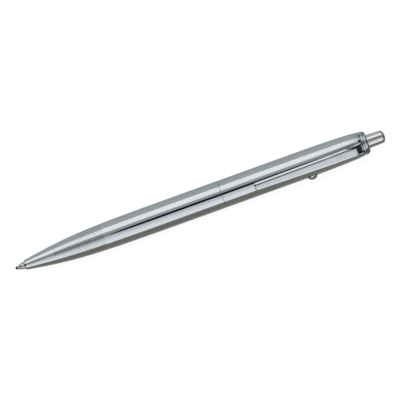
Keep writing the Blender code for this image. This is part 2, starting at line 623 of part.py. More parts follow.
def make_clip(clip_frame, material):
    """A spring strip with a flat face and sloped flanks, swept along its route; it widens to its root."""
    route = clip_route()
    pivot = (CAP_END - CLIP_SETBACK, (CLIP_TANG_END + CAP_REAR_BORE) / 2)
    thick = CLIP_THICKNESS / 2
    widening = (CLIP_ROOT_WIDTH - CLIP_END_WIDTH) / (route[-1][0] - route[0][0])
    bm = bmesh.new()
    rows = []
    for i, (station, height) in enumerate(route):
        before = route[max(i - 1, 0)]
        after = route[min(i + 1, len(route) - 1)]
        length = math.hypot(after[0] - before[0], after[1] - before[1])
        along = ((after[0] - before[0]) / length, (after[1] - before[1]) / length)
        half = (CLIP_END_WIDTH + widening * (station - route[0][0])) / 2
        face = half - CLIP_FLANK
        section = [(-half, -thick), (-half, thick - CLIP_FLANK), (-face, thick)]
        section += [(face, thick), (half, thick - CLIP_FLANK), (half, -thick)]
        row = []
        for across, out in section:
            spot = (station - along[1] * out - pivot[0], across, height + along[0] * out - pivot[1])
            row.append(bm.verts.new(spot))
        rows.append(row)
    for row, following in zip(rows, rows[1:]):
        for k in range(len(section)):
            n = (k + 1) % len(section)
            bm.faces.new((row[k], row[n], following[n], following[k]))
    bm.faces.new(rows[0])
    bm.faces.new(rows[-1])
    make_piece("clip", bm, material, clip_frame, (pivot[0], 0.0, pivot[1]))


def build_pen():
    clear_scene()
    materials = {
        "chrome": finish("polished_chrome", (0.66, 0.68, 0.70), 1.0, 0.08),
        "brass": finish("turned_brass", (0.72, 0.55, 0.26), 1.0, 0.28),
        "steel": finish("stainless_steel", (0.55, 0.56, 0.57), 1.0, 0.25),
        "spring": finish("spring_steel", (0.42, 0.43, 0.45), 1.0, 0.32),
        "carbide": finish("tungsten_carbide", (0.30, 0.30, 0.32), 1.0, 0.2),
        "refill": finish("nickel_plated_brass", (0.62, 0.58, 0.50), 1.0, 0.22),
        "plastic": finish("white_nylon", (0.80, 0.80, 0.76), 0.0, 0.5),
        "ink": finish("black_ink", (0.01, 0.01, 0.02), 0.0, 0.3),
    }
    axis = make_empty("pen_axis", None, (-PEN_LENGTH / 2, 0.0, REST_HEIGHT))
    clip_frame = make_empty("clip_direction", axis, turn=CLIP_TURN)
    button_frame = make_empty("side_button_direction", axis, turn=BUTTON_TURN)
    barrel_axis = make_empty("front_barrel_axis", axis)
    refill_axis = make_empty("refill_axis", axis)
    plunger_axis = make_empty("plunger_axis", axis)
    make_front_barrel(barrel_axis, materials["chrome"])
    make_return_spring(barrel_axis, materials["spring"])
    hole = make_cap(axis, clip_frame, button_frame, materials["chrome"])
    make_end_ring(axis, clip_frame, materials["chrome"])
    make_mechanism_sleeve(axis, hole, materials["brass"])
    bush = tube(BUSH_START, BUSH_END, BUSH_RADIUS, BUSH_RADIUS - BUSH_WALL)
    turned("joint_bush", bush, materials["brass"], axis)
    make_refill(refill_axis, materials)
    make_plunger(plunger_axis, materials)
    make_latch(button_frame, materials)
    make_clip(clip_frame, materials["chrome"])


build_pen()
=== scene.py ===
"""A chromed retractable ballpoint pen, lying on its barrel and side button on a pale floor."""
import json
import math

import bmesh
import bpy
from mathutils import Matrix, Vector


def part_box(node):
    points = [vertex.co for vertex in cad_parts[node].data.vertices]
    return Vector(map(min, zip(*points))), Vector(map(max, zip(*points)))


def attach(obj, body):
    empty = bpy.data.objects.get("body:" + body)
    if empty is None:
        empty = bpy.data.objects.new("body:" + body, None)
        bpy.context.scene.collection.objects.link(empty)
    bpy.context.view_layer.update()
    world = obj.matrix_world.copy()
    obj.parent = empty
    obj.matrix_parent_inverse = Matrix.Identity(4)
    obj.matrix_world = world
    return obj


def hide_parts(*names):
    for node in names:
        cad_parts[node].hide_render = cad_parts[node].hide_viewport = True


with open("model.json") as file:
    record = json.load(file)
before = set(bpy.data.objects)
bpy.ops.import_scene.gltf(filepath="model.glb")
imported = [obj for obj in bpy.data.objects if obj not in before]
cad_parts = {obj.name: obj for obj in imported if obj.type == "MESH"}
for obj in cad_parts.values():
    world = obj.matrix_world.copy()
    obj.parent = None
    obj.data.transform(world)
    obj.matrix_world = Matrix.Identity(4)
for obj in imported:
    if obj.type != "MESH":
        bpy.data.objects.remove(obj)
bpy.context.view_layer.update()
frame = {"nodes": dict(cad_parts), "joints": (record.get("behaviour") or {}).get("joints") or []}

# Camera
# It stands well back and looks almost square on to the pen from above, as for a catalogue, and is
# rolled so that the pen climbs to the right across the picture.
MM = 0.001
tip_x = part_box("writing_ball")[0].x
bush_low, bush_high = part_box("joint_bush")
axis_z = (bush_low.z + bush_high.z) / 2
PEN_CLIMB = math.radians(19.83)
VIEW_HEIGHT = math.radians(42.4)
VIEW_ASIDE = math.radians(1.2)
VIEW_DISTANCE = 1200 * MM
VIEW_WIDTH = 132.6 * MM
MIDDLE_STATION = 65.33 * MM
MIDDLE_ABOVE = 0.64 * MM

to_camera = Vector((math.sin(VIEW_ASIDE), -math.cos(VIEW_ASIDE) * math.cos(VIEW_HEIGHT),
                    math.cos(VIEW_ASIDE) * math.sin(VIEW_HEIGHT)))
above = Vector((0.0, math.sin(VIEW_HEIGHT), math.cos(VIEW_HEIGHT)))
aside = above.cross(to_camera)
right = aside * math.cos(PEN_CLIMB) - above * math.sin(PEN_CLIMB)
upward = aside * math.sin(PEN_CLIMB) + above * math.cos(PEN_CLIMB)
camera = bpy.data.objects.new("camera", bpy.data.cameras.new("camera"))
bpy.context.scene.collection.objects.link(camera)
camera.data.sensor_width = 36.0
camera.data.lens = camera.data.sensor_width * VIEW_DISTANCE / VIEW_WIDTH
middle = Vector((tip_x + MIDDLE_STATION, 0.0, axis_z)) + above * MIDDLE_ABOVE
camera.matrix_world = Matrix.Translation(middle + to_camera * VIEW_DISTANCE) @ Matrix(
    (right, upward, to_camera)).transposed().to_4x4()
bpy.context.scene.camera = camera

# Front barrel
# The long shell that the hand holds: brass tube drawn to a slender ogive, with 25 fine rings rolled
# in for grip, then polished and chromed. The nose rim is rounded where it meets the point.
TURNED_SIDES = 144
ON_AXIS = 1e-6
SHARP_ANGLE = 32
FILLET_STEPS, FILLET_REACH, FILLET_MARGIN = 4, 0.42, 0.04
BARREL_RADIUS = 4.69
NOSE, NOSE_RADIUS, NOSE_HOLE = 3.4, 1.63, 1.22
JOINT = 72.79
TAPER = ((NOSE, NOSE_RADIUS), (NOSE + 17.7, BARREL_RADIUS - 0.06), (NOSE + 24.1, BARREL_RADIUS),
         (NOSE + 58.1, BARREL_RADIUS))
TAPER_STEPS = 90
GROOVE_FIRST, GROOVE_PITCH, GROOVE_COUNT = NOSE + 10.7, 0.713, 25
GROOVE_DEPTH, GROOVE_WIDTH, GROOVE_STEPS, GROOVE_MARGIN = 0.055, 0.3, 8, 0.02
RIM_START, RIM_CORNER, RIM_END, RIM_POINTS = (-0.2, 1.25), (0.0, 1.7), (0.7, 1.765), 12
SPRING_SEAT, NOSE_BORE_END, GRIP_BORE_END = NOSE + 5.6, 17.6, NOSE + 31.0
NOSE_BORE, GRIP_BORE, JOINT_BORE = 1.98, 3.1, 3.97


def pen_frame(turn=0.0):
    """The matrix that sets mm behind the ball's front, across and out from the axis in the scene."""
    return (Matrix.Translation((tip_x, 0.0, axis_z)) @ Matrix.Rotation(turn, 4, "X")
            @ Matrix.Scale(MM, 4))


def linear(colour):
    """An sRGB hex colour as linear red, green, blue and alpha."""
    channels = [int(colour[i:i + 2], 16) / 255 for i in (1, 3, 5)]
    return tuple(c / 12.92 if c <= 0.04045 else ((c + 0.055) / 1.055) ** 2.4 for c in channels) + (1.0,)


def add_node(tree, kind, inputs=None, **settings):
    """One shader node with its settings; an input that is a socket is linked, any other is set."""
    made = tree.nodes.new(kind)
    for name, value in settings.items():
        setattr(made, name, value)
    for name, value in (inputs or {}).items():
        if isinstance(value, bpy.types.NodeSocket):
            tree.links.new(value, made.inputs[name])
        else:
            made.inputs[name].default_value = value
    return made


def set_stops(ramp, stops):
    """Gives a colour ramp its stops, (position, colour) in rising order."""
    for number, (position, colour) in enumerate(stops):
        stop = ramp.elements[number] if number < 2 else ramp.elements.new(position)
        stop.position = position
        stop.color = colour


def new_material(name):
    """A material with its node tree, its shader and the place on the object, in metres."""
    made = bpy.data.materials.new(name)
    made.use_nodes = True
    tree = made.node_tree
    place = add_node(tree, "ShaderNodeTexCoord").outputs["Object"]
    return made, tree, tree.nodes["Principled BSDF"], place


def arc(steps, span=math.pi / 2):
    """Cosine and sine at even steps from 0 to an angle, which is a quarter turn unless given."""
    return [(math.cos(span * k / steps), math.sin(span * k / steps)) for k in range(steps + 1)]


def curve_point(points, t):
    """A point on the cubic curve from the first of four control points to the last."""
    weights = ((1 - t) ** 3, 3 * t * (1 - t) ** 2, 3 * t * t * (1 - t), t ** 3)
    return tuple(sum(w * point[axis] for w, point in zip(weights, points)) for axis in (0, 1))


def curve_radius(points, station):
    """Radius of a cubic outline at a station, found by halving."""
    low, high = 0.0, 1.0
    for _ in range(40):
        half = (low + high) / 2
        if curve_point(points, half)[0] < station:
            low = half
        else:
            high = half
    return curve_point(points, low)[1]


def soften(corners):
    """An outline with its corners, (station, radius, fillet), rounded between short flat margins."""
    outline = []
    count = len(corners)
    for i, (x, r, fillet) in enumerate(corners):
        here = Vector((x, r))
        if not fillet:
            outline.append((x, r))
            continue
        before = Vector(corners[i - 1][:2]) - here
        after = Vector(corners[(i + 1) % count][:2]) - here
        spread = before.angle(after) / 2
        reach = min(fillet / math.tan(spread), FILLET_REACH * before.length, FILLET_REACH * after.length)
        middle_way = (before.normalized() + after.normalized()).normalized()
        centre = here + middle_way * (reach / math.cos(spread))
        start = here + before.normalized() * reach - centre
        turn = start.angle_signed(here + after.normalized() * reach - centre)
        margin = min(FILLET_MARGIN, reach * 0.3)
        outline.append(tuple(centre + start + before.normalized() * margin))
        for k in range(FILLET_STEPS + 1):
            spoke = start.copy()
            spoke.rotate(Matrix.Rotation(-turn * k / FILLET_STEPS, 2))
            outline.append(tuple(centre + spoke))
        outline.append(tuple(here + after.normalized() * (reach + margin)))
    return outline


def turn_piece(name, outline, place=None, sides=TURNED_SIDES, upright=None):
    """A piece turned from an outline in mm, along the pen or, upright, standing on a station."""
    bm = bmesh.new()
    rings = []
    for along, radius in outline:
        count = sides if radius > ON_AXIS else 1
        ring = []
        for k in range(count):
            angle = math.tau * k / sides
            across, out = radius * math.sin(angle), radius * math.cos(angle)
            spot = (along, across, out) if upright is None else (upright - out, across, along)
            ring.append(bm.verts.new(spot))
        rings.append(ring)
    pairs = list(zip(rings, rings[1:]))
    if len(rings[0]) > 1:
        pairs.append((rings[-1], rings[0]))
    for first, second in pairs:
        for k in range(sides):
            n = (k + 1) % sides
            corners = [first[k % len(first)], first[n % len(first)],
                       second[n % len(second)], second[k % len(second)]]
            bm.faces.new(dict.fromkeys(corners))
    return mesh_piece(name, bm, place or pen_frame())


def shade(mesh, sharp=SHARP_ANGLE):
    """Shades a mesh smooth, and leaves edges over an angle in degrees sharp."""
    mesh.shade_smooth()
    mesh.set_sharp_from_angle(angle=math.radians(sharp))


def mesh_piece(name, bm, place, sharp=SHARP_ANGLE):
    """A smooth-shaded piece from a bmesh in mm, set in the pen's frame."""
    bmesh.ops.transform(bm, matrix=place, verts=bm.verts)
    bmesh.ops.recalc_face_normals(bm, faces=bm.faces)
    mesh = bpy.data.meshes.new(name)
    bm.to_mesh(mesh)
    bm.free()
    shade(mesh, sharp)
    piece = bpy.data.objects.new(name, mesh)
    bpy.context.scene.collection.objects.link(piece)
    return piece


rings_start = GROOVE_FIRST - GROOVE_PITCH / 2
rings_end = rings_start + GROOVE_PITCH * GROOVE_COUNT
smooth_taper = [curve_point(TAPER, i / TAPER_STEPS) for i in range(TAPER_STEPS + 1)]
corners = [(NOSE + 0.06, NOSE_HOLE, 0)]
for i in range(RIM_POINTS + 1):
    t = i / RIM_POINTS
    along, out = [(1 - t) ** 2 * start + 2 * t * (1 - t) * corner + t * t * end
                  for start, corner, end in zip(RIM_START, RIM_CORNER, RIM_END)]
    corners.append((NOSE + along, out, 0))
corners += [(s, r, 0) for s, r in smooth_taper if NOSE + RIM_END[0] + 0.1 < s < rings_start - 0.1]
for i in range(GROOVE_COUNT):
    groove = GROOVE_FIRST + i * GROOVE_PITCH - GROOVE_WIDTH / 2
    deepening = 0.5 + 0.5 * i / GROOVE_COUNT
    corners.append((groove - GROOVE_MARGIN, curve_radius(TAPER, groove - GROOVE_MARGIN), 0))
    for k in range(GROOVE_STEPS + 1):
        spot = groove + k * GROOVE_WIDTH / GROOVE_STEPS
        sunk = GROOVE_DEPTH * deepening * (1 - math.cos(math.tau * k / GROOVE_STEPS)) / 2
        corners.append((spot, curve_radius(TAPER, spot) - sunk, 0))
    corners.append((spot + GROOVE_MARGIN, curve_radius(TAPER, spot + GROOVE_MARGIN), 0))
corners += [(s, r, 0) for s, r in smooth_taper if s > rings_end + 0.1]
corners += [(JOINT, BARREL_RADIUS, 0.06), (JOINT, JOINT_BORE, 0.05), (GRIP_BORE_END, JOINT_BORE, 0)]
corners += [(GRIP_BORE_END, GRIP_BORE, 0), (NOSE_BORE_END, GRIP_BORE, 0), (NOSE_BORE_END, NOSE_BORE, 0)]
corners += [(SPRING_SEAT, NOSE_BORE, 0), (SPRING_SEAT, NOSE_HOLE, 0)]
front_barrel = turn_piece("front_barrel_shell", soften(corners))

# Bright chromium plate, hard and blue-white: it mirrors the room, and only the faint swirls of the
# polishing mop and a few hairlines of use roughen it.
chrome, tree, shader, place = new_material("polished_chromium_plate")
haze = add_node(tree, "ShaderNodeTexNoise", {"Vector": place, "Scale": 1 / (6 * MM), "Detail": 3.0})
stretch = add_node(tree, "ShaderNodeMapping",
                   {"Vector": place, "Scale": (1 / (9 * MM), 1 / (0.12 * MM), 1 / (0.12 * MM))})
hairline = add_node(tree, "ShaderNodeTexNoise",
                    {"Vector": stretch.outputs["Vector"], "Scale": 1.0, "Detail": 2.0})
swirl = add_node(tree, "ShaderNodeMath", {0: haze.outputs["Fac"], 1: 0.05}, operation="MULTIPLY")
mark = add_node(tree, "ShaderNodeMath", {0: hairline.outputs["Fac"], 1: 0.03}, operation="MULTIPLY")
rough = add_node(tree, "ShaderNodeMath", {0: swirl.outputs[0], 1: mark.outputs[0]}, operation="ADD")
tint = add_node(tree, "ShaderNodeValToRGB", {"Fac": haze.outputs["Fac"]})
set_stops(tint.color_ramp, ((0.35, linear("#d6d7d7")), (0.65, linear("#dadbdb"))))
relief = add_node(tree, "ShaderNodeBump",
                  {"Height": hairline.outputs["Fac"], "Strength": 0.06, "Distance": 0.004 * MM})
tree.links.new(tint.outputs["Color"], shader.inputs["Base Color"])
tree.links.new(rough.outputs[0], shader.inputs["Roughness"])
tree.links.new(relief.outputs["Normal"], shader.inputs["Normal"])
shader.inputs["Metallic"].default_value = 1.0
front_barrel.data.materials.append(chrome)
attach(front_barrel, "front")
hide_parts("front_barrel")

# Cap tube
# The rear shell, of the same chromed brass: straight, then drawn in towards the end ring. A slot is
# milled for the clip's root, and a hole is drilled for the side button and a small one for a pin.
CAP_START, CAP_END = 72.85, 122.0
CAP_BORE, CAP_END_BORE = 4.15, 3.45
CAP_BORE_START, CAP_BORE_END = 81.15, 118.3
CAP_TAPER = ((CAP_END - 19.5, BARREL_RADIUS), (CAP_END - 15.5, BARREL_RADIUS), (CAP_END - 3.0, 4.6),
             (CAP_END, 4.0))
CAP_STEPS = 48
SLOT_START, SLOT_END, SLOT_ROUND = 114.9, 121.5, 1.1
SLOT_FRONT_HALF, SLOT_REAR_HALF = 1.1, 1.62
SLOT_ASIDE = -0.19
RIM_WIDTH, RIM_DEPTH = 0.36, 0.17
CUTTER_FOOT, SLOT_CUTTER_TOP, DRILL_TOP = 1.4, 7.0, 9.0
BUTTON_STATION, BUTTON_HOLE = 103.1, 2.0
PIN_STATION, PIN_RADIUS, PIN_TURN, PIN_FOOT = 121.45, 0.46, math.radians(32), 3.3
clip_joint = next(j for j in frame["joints"] if j["name"] == "clip_flex")
button_joint = next(j for j in frame["joints"] if j["name"] == "side_button_press")
clip_turn = math.atan2(clip_joint["axis"][2], clip_joint["axis"][1])
button_turn = math.atan2(-button_joint["axis"][2], -button_joint["axis"][1])


def cut(piece, cutter):
    """Cuts one piece with another, for good, and drops the cutter."""
    step = piece.modifiers.new("cut", "BOOLEAN")
    step.solver = "EXACT"
    step.object = cutter
    depsgraph = bpy.context.evaluated_depsgraph_get()
    mesh = bpy.data.meshes.new_from_object(piece.evaluated_get(depsgraph))
    piece.modifiers.clear()
    piece.data = mesh
    bpy.data.objects.remove(cutter)


def drill(piece, name, radius, foot, turn, sides, station):
    """Drills a round hole into a piece from outside, down to foot mm from the pen's axis."""
    outline = [(foot, 0.0), (foot, radius), (DRILL_TOP, radius), (DRILL_TOP, 0.0)]
    cut(piece, turn_piece(name, outline, pen_frame(turn), sides, station))


def even_shading(piece, radius_of, slope_of, off_surface=0.01, same_way=0.95):
    """Gives the outer surface the normals of the uncut shell, so that cuts leave no ripples."""
    mesh = piece.data
    shade(mesh)
    normals = [Vector(corner.vector) for corner in mesh.corner_normals]
    for face in mesh.polygons:
        for corner in face.loop_indices:
            spot = mesh.vertices[mesh.loops[corner].vertex_index].co
            station = (spot.x - tip_x) / MM
            out = Vector((0.0, spot.y, spot.z - axis_z))
            if abs(out.length / MM - radius_of(station)) > off_surface:
                continue
            level = out.normalized() - Vector((slope_of(station), 0.0, 0.0))
            if face.normal.dot(level.normalized()) > same_way:
                normals[corner] = level.normalized()
    mesh.normals_split_custom_set(normals)


def cap_radius(station):
    """The cap's outer radius at a station."""
    return BARREL_RADIUS if station < CAP_TAPER[0][0] else curve_radius(CAP_TAPER, station)


def cap_slope(station, step=0.01):
    """How fast the cap's outer radius grows there."""
    return (cap_radius(station + step) - cap_radius(station - step)) / (2 * step)


corners = [(CAP_START, JOINT_BORE, 0.05), (CAP_START, BARREL_RADIUS, 0.06)]
corners += [(*curve_point(CAP_TAPER, i / CAP_STEPS), 0) for i in range(CAP_STEPS)]
corners += [(CAP_END, CAP_TAPER[-1][1], 0.08), (CAP_END, CAP_END_BORE, 0.04)]
corners += [(CAP_BORE_END, CAP_END_BORE, 0), (CAP_BORE_END, CAP_BORE, 0)]
corners += [(CAP_BORE_START, CAP_BORE, 0), (CAP_BORE_START, JOINT_BORE, 0)]
cap = turn_piece("cap_shell", soften(corners))

# The slot's cutter flares as it passes the surface, so it leaves a bevelled rim up to RIM_WIDTH wide.
outline = [(SLOT_START + SLOT_ROUND - SLOT_ROUND * sine, -SLOT_FRONT_HALF * cosine)
           for cosine, sine in arc(24, math.pi)]
outline += [(SLOT_END, SLOT_REAR_HALF * (1 - k / 6)) for k in range(13)]
levels = ((CUTTER_FOOT, 0.0, 0.0), (None, -RIM_DEPTH, 0.0), (None, RIM_DEPTH, 2 * RIM_WIDTH),
          (SLOT_CUTTER_TOP, 0.0, 2 * RIM_WIDTH))
slot_bm = bmesh.new()
loops = []
for fixed_height, rise, spread in levels:
    loop = []
    for station, across in outline:
        wide = across * (1 + spread / SLOT_REAR_HALF) + SLOT_ASIDE
        back = station - spread * (1 - min((station - SLOT_START) / SLOT_ROUND, 1.0))
        height = fixed_height or math.sqrt((cap_radius(back) + rise) ** 2 - wide ** 2)
        loop.append(slot_bm.verts.new((back, wide, height)))
    loops.append(loop)
for first, second in zip(loops, loops[1:]):
    for k in range(len(outline)):
        n = (k + 1) % len(outline)
        slot_bm.faces.new((first[k], first[n], second[n], second[k]))
slot_bm.faces.new(loops[0])
slot_bm.faces.new(loops[-1])
cut(cap, mesh_piece("slot_cutter", slot_bm, pen_frame(clip_turn)))
drill(cap, "hole_cutter", BUTTON_HOLE, CUTTER_FOOT, button_turn, 96, BUTTON_STATION)
drill(cap, "pin_cutter", PIN_RADIUS, PIN_FOOT, PIN_TURN, 32, PIN_STATION)
even_shading(cap, cap_radius, cap_slope)

# Bare brass inside the cap, never plated, painted near black: painted shade for the dark inside of the
# slot and cap, the ring's spigot and pocket, and the bush where it shows in the seam.
painted_shade_brass, tree, shader, place = new_material("bare_brass_painted_shade")
mottle = add_node(tree, "ShaderNodeTexNoise", {"Vector": place, "Scale": 1 / (1.2 * MM), "Detail": 4.0})
tint = add_node(tree, "ShaderNodeValToRGB", {"Fac": mottle.outputs["Fac"]})
set_stops(tint.color_ramp, ((0.0, linear("#0e0d0b")), (1.0, linear("#1e1b17"))))
rough = add_node(tree, "ShaderNodeMapRange",
                 {"Value": mottle.outputs["Fac"], "To Min": 0.45, "To Max": 0.7})
tree.links.new(tint.outputs["Color"], shader.inputs["Base Color"])
tree.links.new(rough.outputs["Result"], shader.inputs["Roughness"])


def finish_with_painted_shade(piece, is_inside, outer):
    """Gives a piece its outer finish, and brass painted near black as shade where is_inside(station,
    radius) says so.
    """
    piece.data.materials.clear()
    piece.data.materials.append(outer)
    piece.data.materials.append(painted_shade_brass)
    for face in piece.data.polygons:
        spot = face.center
        radius = math.hypot(spot.y, spot.z - axis_z) / MM
        face.material_index = int(is_inside((spot.x - tip_x) / MM, radius))


# Painted shade: the cap's bore and the walls of the slot and holes are painted near black.
finish_with_painted_shade(cap, lambda station, radius: radius < cap_radius(station) - RIM_DEPTH - 0.03
              and CAP_START + 0.2 < station < CAP_END - 0.01, chrome)
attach(cap, "cap")
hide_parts("cap_tube")

# End ring
# A turned and chromed ring behind the cap. Its spigot closes the cap, guides the thumb button and
# has a pocket that traps the clip's tang.
RING_START, RING_END, RING_RADIUS, RING_LIP, RING_BEVEL = 122.15, 124.1, 4.05, 2.9, 0.12
RING_BORE, SPIGOT_START, SPIGOT_RADIUS = 2.485, 118.6, 3.4
CLIP_TANG = 119.85
POCKET_SIZE, POCKET_HEIGHT = (0.95, 4.2, 1.9), 3.78
corners = [(SPIGOT_START, RING_BORE, 0.05), (SPIGOT_START, SPIGOT_RADIUS, 0.1)]
corners += [(RING_START, SPIGOT_RADIUS, 0), (RING_START, RING_RADIUS, RING_BEVEL)]
corners += [(RING_START + RING_BEVEL + (RING_END - RING_START - RING_BEVEL) * sine,
             RING_LIP + (RING_RADIUS - 0.03 - RING_LIP) * cosine, 0) for cosine, sine in arc(20)]
corners += [(RING_END - 0.1, RING_BORE, 0.03)]
ring = turn_piece("end_ring_turned", soften(corners))
pocket_bm = bmesh.new()
bmesh.ops.create_cube(pocket_bm, size=1.0, matrix=Matrix.Translation((CLIP_TANG, 0, POCKET_HEIGHT))
                      @ Matrix.Diagonal((*POCKET_SIZE, 1.0)))
cut(ring, mesh_piece("pocket_cutter", pocket_bm, pen_frame(clip_turn)))
shade(ring.data)
# Painted shade: the spigot, with the pocket for the clip's tang, is painted near black.
finish_with_painted_shade(ring, lambda station, radius: radius < SPIGOT_RADIUS + 0.02 and station < RING_START + 0.02,
              chrome)
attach(ring, "cap")
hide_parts("end_ring")

# Thumb button
# Pressed to put the point out: a hollow turned button, a touch narrower at its end, nickel-plated,
# so a little warmer and softer than the chrome. Its flange keeps it in the cap.
THUMB_START, THUMB_END, DOME_LENGTH, DOME_RADIUS = 112.5, 130.1, 1.15, 2.15
THUMB_RADIUS, THUMB_MOUTH, THUMB_BORE, THUMB_BORE_END = 2.385, 2.34, 1.45, 120.2
FLANGE_RADIUS, FLANGE_LENGTH = 2.835, 0.8
corners = [(THUMB_BORE_END, 0.0, 0), (THUMB_BORE_END, THUMB_BORE, 0), (THUMB_START, THUMB_BORE, 0.05)]
corners += [(THUMB_START, FLANGE_RADIUS, 0.1), (THUMB_START + FLANGE_LENGTH, FLANGE_RADIUS, 0.1)]
corners += [(THUMB_START + FLANGE_LENGTH, THUMB_RADIUS, 0), (RING_END - 0.4, THUMB_RADIUS, 0)]
corners += [(RING_END, THUMB_MOUTH, 0)]
corners += [(THUMB_END - DOME_LENGTH * (1 - sine), DOME_RADIUS * cosine, 0) for cosine, sine in arc(20)]
thumb_button = turn_piece("thumb_button_turned", soften(corners), sides=96)

# Bright nickel plate over turned brass: faintly warm, with the fine rings that the lathe left.
nickel, tree, shader, place = new_material("bright_nickel_plate")
haze = add_node(tree, "ShaderNodeTexNoise", {"Vector": place, "Scale": 1 / (2.5 * MM), "Detail": 4.0})
lathe = add_node(tree, "ShaderNodeMapping", {"Vector": place, "Scale": (1 / (0.08 * MM), 1.0, 1.0)})
turning = add_node(tree, "ShaderNodeTexNoise",
                   {"Vector": lathe.outputs["Vector"], "Scale": 1.0, "Detail": 2.0})
rough = add_node(tree, "ShaderNodeMapRange",
                 {"Value": haze.outputs["Fac"], "To Min": 0.01, "To Max": 0.05})
tint = add_node(tree, "ShaderNodeValToRGB", {"Fac": haze.outputs["Fac"]})
set_stops(tint.color_ramp, ((0.0, linear("#ebe8e2")), (1.0, linear("#f3f0ea"))))
relief = add_node(tree, "ShaderNodeBump",
                  {"Height": turning.outputs["Fac"], "Strength": 0.05, "Distance": 0.003 * MM})
tree.links.new(tint.outputs["Color"], shader.inputs["Base Color"])
tree.links.new(rough.outputs["Result"], shader.inputs["Roughness"])
tree.links.new(relief.outputs["Normal"], shader.inputs["Normal"])
shader.inputs["Metallic"].default_value = 1.0
thumb_button.data.materials.append(nickel)
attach(thumb_button, "plunger")
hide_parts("thumb_button")

# Clip
# One strip of spring steel, pressed to a flat face with sloped flanks, polished and chromed. It
# stoops towards the end ring, bends into the slot and ends in a tang held by the ring's spigot.
CLIP_LENGTH, CLIP_THICK = 36.35, 0.65
CLIP_END_HALF, CLIP_ROOT_HALF, CLIP_TANG_HALVES = 1.55, 2.05, (1.05, 1.5)
CLIP_FLANK, CLIP_EDGE, CLIP_FACE_EDGE, CLIP_TRIMMED = 0.58, 0.36, 0.7, 0.14
BACK_CORNER, FLANK_CORNER, EDGE_STEPS = 0.05, 0.02, 12
CLIP_BEND, BEND_STEPS, CLIP_ROLL = 0.75, 16, math.radians(4.5)
CLIP_HEIGHT = BARREL_RADIUS + 0.21 + CLIP_THICK / 2
CLIP_DIP, CLIP_DIP_HANDLE, CLIP_DIP_LENGTH, DIP_STEPS = 0.42, 0.38, 10.5, 24
CLIP_TANG_END = 2.95
WAIST_START, WAIST_END = 116.5, 118.4
END_ROUND, END_DROP, END_STEPS = 0.6, 0.95, 8
STRAIGHT_FROM, STRAIGHT_STEPS = 0.5, 6
bend_start = CLIP_TANG - CLIP_BEND
dip_start = bend_start - CLIP_DIP_LENGTH
free_end = CLIP_TANG + CLIP_THICK / 2 - CLIP_LENGTH
straight_start = free_end + STRAIGHT_FROM
stoop = ((dip_start, CLIP_HEIGHT), (dip_start + CLIP_DIP_LENGTH / 3, CLIP_HEIGHT),
         (bend_start - CLIP_DIP_LENGTH / 3, CLIP_HEIGHT - CLIP_DIP_HANDLE),
         (bend_start, CLIP_HEIGHT - CLIP_DIP))
# The strip's way from its free end to the tang: station, height, and how far the round end draws in.
route = [(free_end + END_ROUND * (1 - cosine), CLIP_HEIGHT, END_ROUND * (1 - sine))
         for cosine, sine in arc(END_STEPS)]
# The straight stretch starts 0.1 before the round end is over, a small fold that doesn't show.
route += [(straight_start + (dip_start - straight_start) * k / STRAIGHT_STEPS, CLIP_HEIGHT, 0.0)
          for k in range(STRAIGHT_STEPS)]
route += [(*curve_point(stoop, k / DIP_STEPS), 0.0) for k in range(DIP_STEPS)]
route += [(bend_start + CLIP_BEND * sine, CLIP_HEIGHT - CLIP_DIP - CLIP_BEND * (1 - cosine), 0.0)
          for cosine, sine in arc(BEND_STEPS)]
route += [(CLIP_TANG, CLIP_TANG_END, 0.0)]

# At each stop stands the strip's section: back corners, sides, and flanks rounded into the face.
thick = CLIP_THICK / 2
clip_bm = bmesh.new()
rows = []
for i, (station, height, inset) in enumerate(route):
    behind = route[i - 1] if i > END_STEPS else (station - 1.0, height)
    ahead = route[i + 1] if i + 1 < len(route) else (station, height - 1.0)
    along = Vector((ahead[0] - behind[0], ahead[1] - behind[1])).normalized()
    share = (station - free_end) / (CLIP_TANG - free_end)
    wide = CLIP_END_HALF + (CLIP_ROOT_HALF - CLIP_END_HALF) * share
    waist = min(max((station - WAIST_START) / (WAIST_END - WAIST_START), 0.0), 1.0)
    slope = CLIP_FLANK + (CLIP_TRIMMED - CLIP_FLANK) * waist
    edge = CLIP_EDGE * slope / CLIP_FLANK
    face_edge = CLIP_FACE_EDGE * (0.3 + 0.7 * slope / CLIP_FLANK)
    section = []
    for side, narrow in zip((1, -1), CLIP_TANG_HALVES):
        half = wide + (narrow - wide) * waist
        flank = [(half - BACK_CORNER, -thick), (half, -thick + BACK_CORNER),
                 (half, thick - slope - FLANK_CORNER), (half - FLANK_CORNER, thick - slope + FLANK_CORNER)]
        for k in range(EDGE_STEPS + 1):
            to_flank, to_face = (1 - k / EDGE_STEPS) ** 2, (k / EDGE_STEPS) ** 2
            flank.append((half - slope + edge * to_flank - face_edge * to_face, thick - edge * to_flank))
        section += [(side * across, out) for across, out in flank[::side]]
    row = []
    for across, out in section:
        across, out = (across * math.cos(CLIP_ROLL) + out * math.sin(CLIP_ROLL),
                       out * math.cos(CLIP_ROLL) - across * math.sin(CLIP_ROLL))
        pulled = out - (out + thick) * END_DROP * inset / END_ROUND
        row.append(clip_bm.verts.new((station - along.y * pulled,
                                      across * (1 - inset / wide) + SLOT_ASIDE * share,
                                      height + along.x * pulled)))
    rows.append(row)
for first, second in zip(rows, rows[1:]):
    for k in range(len(first)):
        n = (k + 1) % len(first)
        clip_bm.faces.new((first[k], first[n], second[n], second[k]))
clip_bm.faces.new(rows[0])
clip_bm.faces.new(rows[-1])
clip = mesh_piece("clip_strip_pressed", clip_bm, pen_frame(clip_turn), sharp=40)
clip.data.materials.append(chrome)
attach(clip, "clip_strip")
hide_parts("clip")

